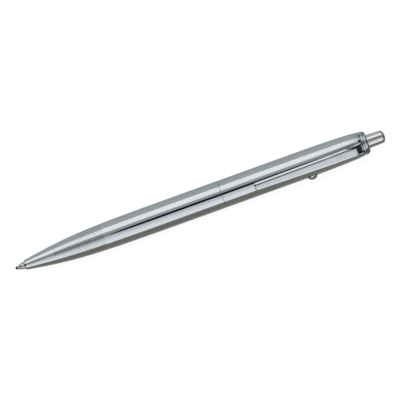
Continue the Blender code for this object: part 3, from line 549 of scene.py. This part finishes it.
# Side release button
# A small domed button, turned and chromed, that stands out of its hole in the cap. It is riveted to
# the latch leaf inside, and a press on it lets the point in.
BUTTON_RADIUS, BUTTON_BASE, DOME, DOME_STEPS = 1.75, 3.324, 1.06, 20
RIVET_HOLE, RIVET_DEPTH = 0.55, 1.0
dome_ball = (BUTTON_RADIUS ** 2 + DOME ** 2) / (2 * DOME)
dome_centre = BARREL_RADIUS + DOME - dome_ball
dome_half = math.asin(BUTTON_RADIUS / dome_ball)
corners = [(BUTTON_BASE + RIVET_DEPTH, 0.0, 0), (BUTTON_BASE + RIVET_DEPTH, RIVET_HOLE, 0)]
corners += [(BUTTON_BASE, RIVET_HOLE, 0.04), (BUTTON_BASE, BUTTON_RADIUS, 0.1)]
corners += [(BARREL_RADIUS - 0.12, BUTTON_RADIUS, 0)]
corners += [(dome_centre + dome_ball * cosine, dome_ball * sine, 0)
            for cosine, sine in reversed(arc(DOME_STEPS, dome_half))]
side_button = turn_piece("side_button_dome", soften(corners), pen_frame(button_turn), 96, BUTTON_STATION)
side_button.data.materials.append(chrome)
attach(side_button, "side_button")
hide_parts("release_button")

# Point
# The refill's tip, turned from stainless steel: a slim cone crimped round the ball, on a tail that
# is pressed into the neck.
CONE_END, TAIL_END, TAIL_RADIUS, INK_BORE = 3.3, 8.0, 0.5, 0.2
INK_FILM = (0.45, 0.85)
corners = [(0.99, INK_BORE, 0), (0.86, 0.38, 0), (0.62, 0.52, 0), (0.42, 0.525, 0), (0.35, 0.508, 0)]
corners += [(0.36, 0.555, 0.01), (0.8, 0.61, 0.2), (1.66, 0.9, 0.4), (2.1, 1.05, 0.5), (2.6, 1.14, 0.4)]
corners += [(CONE_END, 1.165, 0.04), (CONE_END, TAIL_RADIUS, 0.02)]
corners += [(TAIL_END, TAIL_RADIUS, 0.05), (TAIL_END, INK_BORE, 0)]
point = turn_piece("point_cone", soften(corners), sides=72)

# Stainless steel as it leaves the lathe: grey, with fine turned rings that blur what it mirrors.
# Its lip keeps a dark film of ink beside the ball.
stainless, tree, shader, place = new_material("turned_stainless_steel")
lathe = add_node(tree, "ShaderNodeMapping", {"Vector": place, "Scale": (1 / (0.06 * MM), 1.0, 1.0)})
turning = add_node(tree, "ShaderNodeTexNoise",
                   {"Vector": lathe.outputs["Vector"], "Scale": 1.0, "Detail": 3.0})
tint = add_node(tree, "ShaderNodeValToRGB", {"Fac": turning.outputs["Fac"]})
set_stops(tint.color_ramp, ((0.0, linear("#b4b3af")), (1.0, linear("#dcdcd8"))))
rough = add_node(tree, "ShaderNodeMapRange",
                 {"Value": turning.outputs["Fac"], "To Min": 0.03, "To Max": 0.09})
relief = add_node(tree, "ShaderNodeBump",
                  {"Height": turning.outputs["Fac"], "Strength": 0.1, "Distance": 0.004 * MM})
along = add_node(tree, "ShaderNodeSeparateXYZ", {"Vector": place})
inked = add_node(tree, "ShaderNodeMapRange",
                 {"Value": along.outputs["X"], "From Min": tip_x + INK_FILM[0] * MM,
                  "From Max": tip_x + INK_FILM[1] * MM})
stained = add_node(tree, "ShaderNodeMix",
                   {"Factor": inked.outputs["Result"], "A": linear("#17171a"),
                    "B": tint.outputs["Color"]}, data_type="RGBA")
tree.links.new(stained.outputs["Result"], shader.inputs["Base Color"])
tree.links.new(rough.outputs["Result"], shader.inputs["Roughness"])
tree.links.new(relief.outputs["Normal"], shader.inputs["Normal"])
shader.inputs["Metallic"].default_value = 1.0
point.data.materials.append(stainless)
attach(point, "refill")
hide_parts("point_socket")

# Writing ball
# A 1 mm ball of tungsten carbide, ground and polished, loose in the point's seat. It turns there and
# carries the ink to the paper.
BALL_RADIUS = 0.5
ball_outline = [(BALL_RADIUS - BALL_RADIUS * cosine, BALL_RADIUS * sine)
                for cosine, sine in arc(24, math.pi)]
ball = turn_piece("writing_ball_ground", ball_outline, sides=48)

# Ground tungsten carbide: dark and glossy, with a film of ink in its finest grain.
carbide, tree, shader, place = new_material("ground_tungsten_carbide")
grain = add_node(tree, "ShaderNodeTexNoise", {"Vector": place, "Scale": 1 / (0.15 * MM), "Detail": 3.0})
tint = add_node(tree, "ShaderNodeValToRGB", {"Fac": grain.outputs["Fac"]})
set_stops(tint.color_ramp, ((0.0, linear("#0e0e10")), (1.0, linear("#2c2c30"))))
rough = add_node(tree, "ShaderNodeMapRange",
                 {"Value": grain.outputs["Fac"], "To Min": 0.12, "To Max": 0.3})
tree.links.new(tint.outputs["Color"], shader.inputs["Base Color"])
tree.links.new(rough.outputs["Result"], shader.inputs["Roughness"])
shader.inputs["Metallic"].default_value = 1.0
ball.data.materials.append(carbide)
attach(ball, "ball")
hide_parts("writing_ball")

# Refill neck
# The slim front of the refill, turned from brass, with a collar that is crimped into the tube. The
# return spring winds round it, and a short length of it shows behind the point.
NECK_START, NECK_RADIUS, NECK_BORE = 3.36, 1.15, 0.55
COLLAR_START, COLLAR_END, COLLAR_RADIUS = 19.25, 20.15, 2.45
GROOVE_SLOPE = 0.15


def rolled_groove(start, end, radius, depth):
    """A shallow groove rolled into a turned outline, with sloped sides."""
    return [(start, radius, 0), (start + GROOVE_SLOPE, radius - depth, 0),
            (end - GROOVE_SLOPE, radius - depth, 0), (end, radius, 0)]


corners = [(NECK_START, NECK_BORE, 0), (NECK_START, NECK_RADIUS - 0.03, 0.04)]
corners += rolled_groove(14.0, 14.65, NECK_RADIUS, 0.07)
corners += [(COLLAR_START, NECK_RADIUS, 0), (COLLAR_START, COLLAR_RADIUS, 0)]
corners += [(COLLAR_END, COLLAR_RADIUS, 0), (COLLAR_END, NECK_BORE, 0)]
neck = turn_piece("refill_neck_turned", soften(corners), sides=72)

# Turned brass, unlacquered: yellow, slightly dulled, with fine lathe rings.
brass, tree, shader, place = new_material("turned_brass")
tarnish = add_node(tree, "ShaderNodeTexNoise", {"Vector": place, "Scale": 1 / (3 * MM), "Detail": 5.0})
lathe = add_node(tree, "ShaderNodeMapping", {"Vector": place, "Scale": (1 / (0.1 * MM), 1.0, 1.0)})
turning = add_node(tree, "ShaderNodeTexNoise",
                   {"Vector": lathe.outputs["Vector"], "Scale": 1.0, "Detail": 2.0})
tint = add_node(tree, "ShaderNodeValToRGB", {"Fac": tarnish.outputs["Fac"]})
set_stops(tint.color_ramp, ((0.3, linear("#b08a48")), (0.7, linear("#dcc07c"))))
rough = add_node(tree, "ShaderNodeMapRange",
                 {"Value": tarnish.outputs["Fac"], "To Min": 0.22, "To Max": 0.42})
relief = add_node(tree, "ShaderNodeBump",
                  {"Height": turning.outputs["Fac"], "Strength": 0.25, "Distance": 0.005 * MM})
tree.links.new(tint.outputs["Color"], shader.inputs["Base Color"])
tree.links.new(rough.outputs["Result"], shader.inputs["Roughness"])
tree.links.new(relief.outputs["Normal"], shader.inputs["Normal"])
shader.inputs["Metallic"].default_value = 1.0
neck.data.materials.append(brass)
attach(neck, "refill")
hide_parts("refill_neck")

# Refill tube
# Drawn metal tube that holds the ink under gas. One groove is rolled in behind the neck's collar and
# one over the end plug, which closes its mouth.
TUBE_START, TUBE_END, TUBE_RADIUS, TUBE_BORE = 18.6, 88.2, 2.8, 2.5
TUBE_MOUTH, MOUTH_END = 1.2, 19.2
corners = [(TUBE_START, TUBE_MOUTH, 0.02), (TUBE_START, TUBE_RADIUS, 0.35)]
corners += rolled_groove(20.6, 21.15, TUBE_RADIUS, 0.06) + rolled_groove(84.0, 84.65, TUBE_RADIUS, 0.06)
corners += [(TUBE_END, TUBE_RADIUS, 0.1), (TUBE_END, TUBE_BORE, 0.05)]
corners += [(MOUTH_END, TUBE_BORE, 0), (MOUTH_END, TUBE_MOUTH, 0)]
refill_tube = turn_piece("refill_tube_drawn", soften(corners), sides=96)

# Satin nickel on drawn brass: pale and faintly yellow, with draw lines along the tube.
satin_nickel, tree, shader, place = new_material("satin_nickel_on_drawn_tube")
drawn = add_node(tree, "ShaderNodeMapping",
                 {"Vector": place, "Scale": (1 / (20 * MM), 1 / (0.15 * MM), 1 / (0.15 * MM))})
lines = add_node(tree, "ShaderNodeTexNoise",
                 {"Vector": drawn.outputs["Vector"], "Scale": 1.0, "Detail": 3.0})
tint = add_node(tree, "ShaderNodeValToRGB", {"Fac": lines.outputs["Fac"]})
set_stops(tint.color_ramp, ((0.0, linear("#c4bda8")), (1.0, linear("#dcd7c8"))))
rough = add_node(tree, "ShaderNodeMapRange",
                 {"Value": lines.outputs["Fac"], "To Min": 0.2, "To Max": 0.36})
relief = add_node(tree, "ShaderNodeBump",
                  {"Height": lines.outputs["Fac"], "Strength": 0.2, "Distance": 0.004 * MM})
tree.links.new(tint.outputs["Color"], shader.inputs["Base Color"])
tree.links.new(rough.outputs["Result"], shader.inputs["Roughness"])
tree.links.new(relief.outputs["Normal"], shader.inputs["Normal"])
shader.inputs["Metallic"].default_value = 1.0
refill_tube.data.materials.append(satin_nickel)
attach(refill_tube, "refill")
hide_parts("refill_tube")

# Joint bush
# Brass bush pressed into the cap, with a fine thread on its front half for the front barrel. The
# thread is cut as rings, without its lead, as it shows only when the barrel is off.
BUSH_START, BUSH_END, BUSH_RADIUS, BUSH_BORE = 62.1, 80.85, 3.92, 3.37
THREAD_START, THREAD_PITCH, THREAD_COUNT = BUSH_START + 0.8, 0.5, 18
THREAD_ROOT, CREST_HALF, ROOT_HALF = BUSH_RADIUS - 0.16, 0.05, 0.22
corners = [(BUSH_START, BUSH_BORE, 0.05), (BUSH_START, THREAD_ROOT, 0.1)]
for i in range(THREAD_COUNT):
    crest = THREAD_START + i * THREAD_PITCH
    corners += [(crest - ROOT_HALF, THREAD_ROOT, 0), (crest - CREST_HALF, BUSH_RADIUS, 0)]
    corners += [(crest + CREST_HALF, BUSH_RADIUS, 0), (crest + ROOT_HALF, THREAD_ROOT, 0)]
corners += [(JOINT - 0.3, THREAD_ROOT, 0), (JOINT - 0.1, BUSH_RADIUS, 0)]
corners += [(CAP_START + 0.3, BUSH_RADIUS, 0), (BUSH_END, BUSH_RADIUS, 0.15), (BUSH_END, BUSH_BORE, 0.05)]
bush = turn_piece("joint_bush_threaded", soften(corners), sides=96)
# Painted shade: the bush where it shows in the seam between front barrel and cap is painted near black.
finish_with_painted_shade(bush, lambda station, radius: JOINT - 0.35 < station < CAP_START + 0.35, brass)
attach(bush, "cap")
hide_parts("joint_bush")

# Return spring
# Music wire wound round the refill's neck; it pushes the refill back when the latch lets go. It ends
# short of the refill's shoulder by the room that the shoulder needs when the thumb button is pressed.
SPRING_TURNS, TURN_POINTS, SPRING_RADIUS, WIRE_RADIUS, PRESS_ROOM = 9, 36, 1.7, 0.18, 0.8
spring_start = SPRING_SEAT + WIRE_RADIUS + 0.05
spring_end = TUBE_START - PRESS_ROOM - WIRE_RADIUS - 0.1
coil = bpy.data.curves.new("return_spring_wire", "CURVE")
coil.dimensions = "3D"
coil.bevel_depth = WIRE_RADIUS * MM
coil.bevel_resolution = 4
coil.use_fill_caps = True
wire = coil.splines.new("POLY")
wire.points.add(SPRING_TURNS * TURN_POINTS)
for i, spot in enumerate(wire.points):
    share = i / (SPRING_TURNS * TURN_POINTS)
    angle = math.tau * SPRING_TURNS * share
    place_on = pen_frame() @ Vector((spring_start + (spring_end - spring_start) * share,
                                     SPRING_RADIUS * math.cos(angle), SPRING_RADIUS * math.sin(angle)))
    spot.co = (*place_on, 1.0)
spring = bpy.data.objects.new("return_spring_wire", coil)
bpy.context.scene.collection.objects.link(spring)

# Drawn spring steel: dark grey with a thin film of oil.
spring_steel, tree, shader, place = new_material("oiled_music_wire")
mottle = add_node(tree, "ShaderNodeTexNoise", {"Vector": place, "Scale": 1 / (0.8 * MM), "Detail": 4.0})
tint = add_node(tree, "ShaderNodeValToRGB", {"Fac": mottle.outputs["Fac"]})
set_stops(tint.color_ramp, ((0.0, linear("#8b8d90")), (1.0, linear("#b6b8ba"))))
rough = add_node(tree, "ShaderNodeMapRange",
                 {"Value": mottle.outputs["Fac"], "To Min": 0.18, "To Max": 0.4})
tree.links.new(tint.outputs["Color"], shader.inputs["Base Color"])
tree.links.new(rough.outputs["Result"], shader.inputs["Roughness"])
shader.inputs["Metallic"].default_value = 1.0
coil.materials.append(spring_steel)
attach(spring, "front")
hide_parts("return_spring")

# Inner pieces
# The mechanism and the refill's filling stay out of sight; their solids are right, and each gets
# the finish of what it is made of: brass, steel, nylon or ink.
nylon, tree, shader, place = new_material("moulded_natural_nylon")
cloud = add_node(tree, "ShaderNodeTexNoise", {"Vector": place, "Scale": 1 / (1.5 * MM), "Detail": 3.0})
tint = add_node(tree, "ShaderNodeValToRGB", {"Fac": cloud.outputs["Fac"]})
set_stops(tint.color_ramp, ((0.0, linear("#dcdacc")), (1.0, linear("#eceadf"))))
rough = add_node(tree, "ShaderNodeMapRange",
                 {"Value": cloud.outputs["Fac"], "To Min": 0.4, "To Max": 0.6})
tree.links.new(tint.outputs["Color"], shader.inputs["Base Color"])
tree.links.new(rough.outputs["Result"], shader.inputs["Roughness"])

ink, tree, shader, place = new_material("thick_black_ink")
cloud = add_node(tree, "ShaderNodeTexNoise", {"Vector": place, "Scale": 1 / (2 * MM), "Detail": 2.0})
tint = add_node(tree, "ShaderNodeValToRGB", {"Fac": cloud.outputs["Fac"]})
set_stops(tint.color_ramp, ((0.0, linear("#08080c")), (1.0, linear("#14141c"))))
tree.links.new(tint.outputs["Color"], shader.inputs["Base Color"])
shader.inputs["Roughness"].default_value = 0.12

INNER_FINISHES = {
    "mechanism_sleeve": brass, "leaf_anchor": brass, "refill_cup": brass, "latch_leaf": spring_steel,
    "button_rivet": stainless, "plunger_stem": stainless, "latch_collar": stainless,
    "refill_float": nylon, "refill_end_plug": nylon, "ink_column": ink,
}
for node_name, finish in INNER_FINISHES.items():
    piece = frame["nodes"][node_name]
    piece.data.materials.clear()
    piece.data.materials.append(finish)

# Floor
# A plain white table top. It shows white to the camera and keeps the pen's soft shadow; the chrome
# sees the studio round it instead.
FLOOR_HALF, FLOOR_GAP = 1.5, 0.02 * MM
WHITE = (1.0, 1.0, 1.0, 1.0)
floor_bm = bmesh.new()
bmesh.ops.create_grid(floor_bm, x_segments=1, y_segments=1, size=FLOOR_HALF)
floor_mesh = bpy.data.meshes.new("floor")
floor_bm.to_mesh(floor_mesh)
floor_bm.free()
floor = bpy.data.objects.new("floor", floor_mesh)
bpy.context.scene.collection.objects.link(floor)
floor.location.z = -FLOOR_GAP
floor.visible_glossy = False
paper = bpy.data.materials.new("white_table_top")
paper.use_nodes = True
tree = paper.node_tree
tree.nodes.clear()
path = add_node(tree, "ShaderNodeLightPath")
plain = add_node(tree, "ShaderNodeBsdfDiffuse", {"Color": (0.8, 0.8, 0.8, 1.0)})
lit = add_node(tree, "ShaderNodeBsdfDiffuse", {"Color": (0.12, 0.12, 0.12, 1.0)})
glow = add_node(tree, "ShaderNodeEmission", {"Color": WHITE, "Strength": 0.92})
seen = add_node(tree, "ShaderNodeAddShader", {0: lit.outputs[0], 1: glow.outputs[0]})
mixed = add_node(tree, "ShaderNodeMixShader",
                 {"Fac": path.outputs["Is Camera Ray"], 1: plain.outputs[0], 2: seen.outputs[0]})
add_node(tree, "ShaderNodeOutputMaterial", {"Surface": mixed.outputs[0]})
floor_mesh.materials.append(paper)

# Studio
# The chrome shows the room as bands along the barrel, so the room is given by height: grey wall
# behind, a long white light box overhead, grey-green front wall, pale window, brown table. Heights
# run from the floor's level before the pen, 0, over the top, 90, and down behind it.
ROOM = (
    (-180, "#8a9294"), (-91, "#6f7472"), (-60, "#65635b"), (-30, "#6d6c65"), (-26, "#d7dbe1"),
    (-8, "#d3d8de"), (3, "#ccd2d9"), (20, "#b5bdc3"), (27, "#b4bac0"), (42, "#73797a"), (57, "#889192"),
    (69, "#8f9799"), (73, "#dde0e4"), (109, "#dfe2e5"), (114, "#979fa2"), (180, "#8a9294"),
)
# These are the colours that the chrome shows. It gives back CHROME_SHARE of the light, so the room
# that it sees is brighter by that. Whatever isn't a reflection gets an even light.
CHROME_SHARE = 0.69
ROOM_LIGHT = (0.72, 0.72, 0.72, 1.0)

# The room's brightness by where a direction points along the pen, from -1, forward, to 1, backward.
ROOM_ENDS = (
    (-1.0, 0.12), (-0.93, 0.12), (-0.82, 1.0), (0.1, 1.0), (0.2, 0.75), (0.3, 0.48), (0.42, 0.45),
    (0.55, 0.8), (0.75, 0.8), (0.92, 0.25), (1.0, 0.2),
)

# Dark things in it, the lens first: middle and half height in degrees, middle and half width along
# the pen, softness of the edge, and colour.
DARK_THINGS = (
    (41.7, 8.2, -0.024, 0.068, 0.09, "#08090a"), (47.0, 34.0, -0.8, 0.4, 0.2, "#08090a"),
    (42.0, 14.0, 0.35, 0.2, 0.3, "#5c6264"), (52.0, 22.0, 0.14, 0.09, 0.4, "#666c6e"),
)
world = bpy.data.worlds.new("studio")
bpy.context.scene.world = world
world.use_nodes = True
tree = world.node_tree
tree.nodes.clear()
way = add_node(tree, "ShaderNodeTexCoord").outputs["Generated"]
parts = add_node(tree, "ShaderNodeSeparateXYZ", {"Vector": way})
toward = add_node(tree, "ShaderNodeMath", {0: parts.outputs["Y"], 1: -1.0}, operation="MULTIPLY")
height = add_node(tree, "ShaderNodeMath",
                  {0: parts.outputs["Z"], 1: toward.outputs[0]}, operation="ARCTAN2")
share = add_node(tree, "ShaderNodeMapRange",
                 {"Value": height.outputs[0], "From Min": -math.pi, "From Max": math.pi})
bands = add_node(tree, "ShaderNodeValToRGB", {"Fac": share.outputs["Result"]})
set_stops(bands.color_ramp, [((degrees + 180) / 360, linear(colour)) for degrees, colour in ROOM])
sideways = add_node(tree, "ShaderNodeMapRange",
                    {"Value": parts.outputs["X"], "From Min": -1.0, "From Max": 1.0})
ends = add_node(tree, "ShaderNodeValToRGB", {"Fac": sideways.outputs["Result"]})
set_stops(ends.color_ramp, [((x + 1) / 2, (bright, bright, bright, 1.0)) for x, bright in ROOM_ENDS])
room = add_node(tree, "ShaderNodeMix",
                {"Factor": 1.0, "A": bands.outputs["Color"], "B": ends.outputs["Color"]},
                data_type="RGBA", blend_type="MULTIPLY")

seen_room = room.outputs["Result"]
for middle_height, half_height, middle_x, half_x, soft, colour in DARK_THINGS:
    rise = add_node(tree, "ShaderNodeMath",
                    {0: height.outputs[0], 1: math.radians(middle_height)}, operation="SUBTRACT")
    rise = add_node(tree, "ShaderNodeMath",
                    {0: rise.outputs[0], 1: math.radians(half_height)}, operation="DIVIDE")
    shift = add_node(tree, "ShaderNodeMath", {0: parts.outputs["X"], 1: middle_x}, operation="SUBTRACT")
    shift = add_node(tree, "ShaderNodeMath", {0: shift.outputs[0], 1: half_x}, operation="DIVIDE")
    off_middle = add_node(tree, "ShaderNodeCombineXYZ", {"X": rise.outputs[0], "Y": shift.outputs[0]})
    far = add_node(tree, "ShaderNodeVectorMath", {0: off_middle.outputs["Vector"]}, operation="LENGTH")
    dark_share = add_node(tree, "ShaderNodeMapRange",
                          {"Value": far.outputs["Value"], "From Min": 1 + soft, "From Max": 1 - soft})
    darkened = add_node(tree, "ShaderNodeMix",
                        {"Factor": dark_share.outputs["Result"], "A": seen_room, "B": linear(colour)},
                        data_type="RGBA")
    seen_room = darkened.outputs["Result"]

path = add_node(tree, "ShaderNodeLightPath")
plain = add_node(tree, "ShaderNodeMix",
                 {"Factor": path.outputs["Is Glossy Ray"], "A": ROOM_LIGHT, "B": seen_room},
                 data_type="RGBA")
shown = add_node(tree, "ShaderNodeMix",
                 {"Factor": path.outputs["Is Camera Ray"], "A": plain.outputs["Result"], "B": WHITE},
                 data_type="RGBA")
gain = add_node(tree, "ShaderNodeMath",
                {0: path.outputs["Is Glossy Ray"], 1: 1 / CHROME_SHARE - 1, 2: 1.0},
                operation="MULTIPLY_ADD")
backdrop = add_node(tree, "ShaderNodeBackground",
                    {"Color": shown.outputs["Result"], "Strength": gain.outputs[0]})
add_node(tree, "ShaderNodeOutputWorld", {"Surface": backdrop.outputs[0]})

# Key light
# One wide soft box, high and to the left, so that the pen throws a faint soft shadow. The chrome
# doesn't see it, as the room has its own light box.
lamp_data = bpy.data.lights.new("soft_box", "AREA")
lamp_data.shape = "SQUARE"
lamp_data.size = 0.5
lamp_data.energy = 3.0
lamp = bpy.data.objects.new("soft_box", lamp_data)
bpy.context.scene.collection.objects.link(lamp)
lamp.location = (-0.25, -0.1, 0.7)
lamp.rotation_euler = (-lamp.location).to_track_quat("-Z", "Y").to_euler()
lamp.visible_glossy = False

bpy.context.scene.view_settings.view_transform = "Standard"
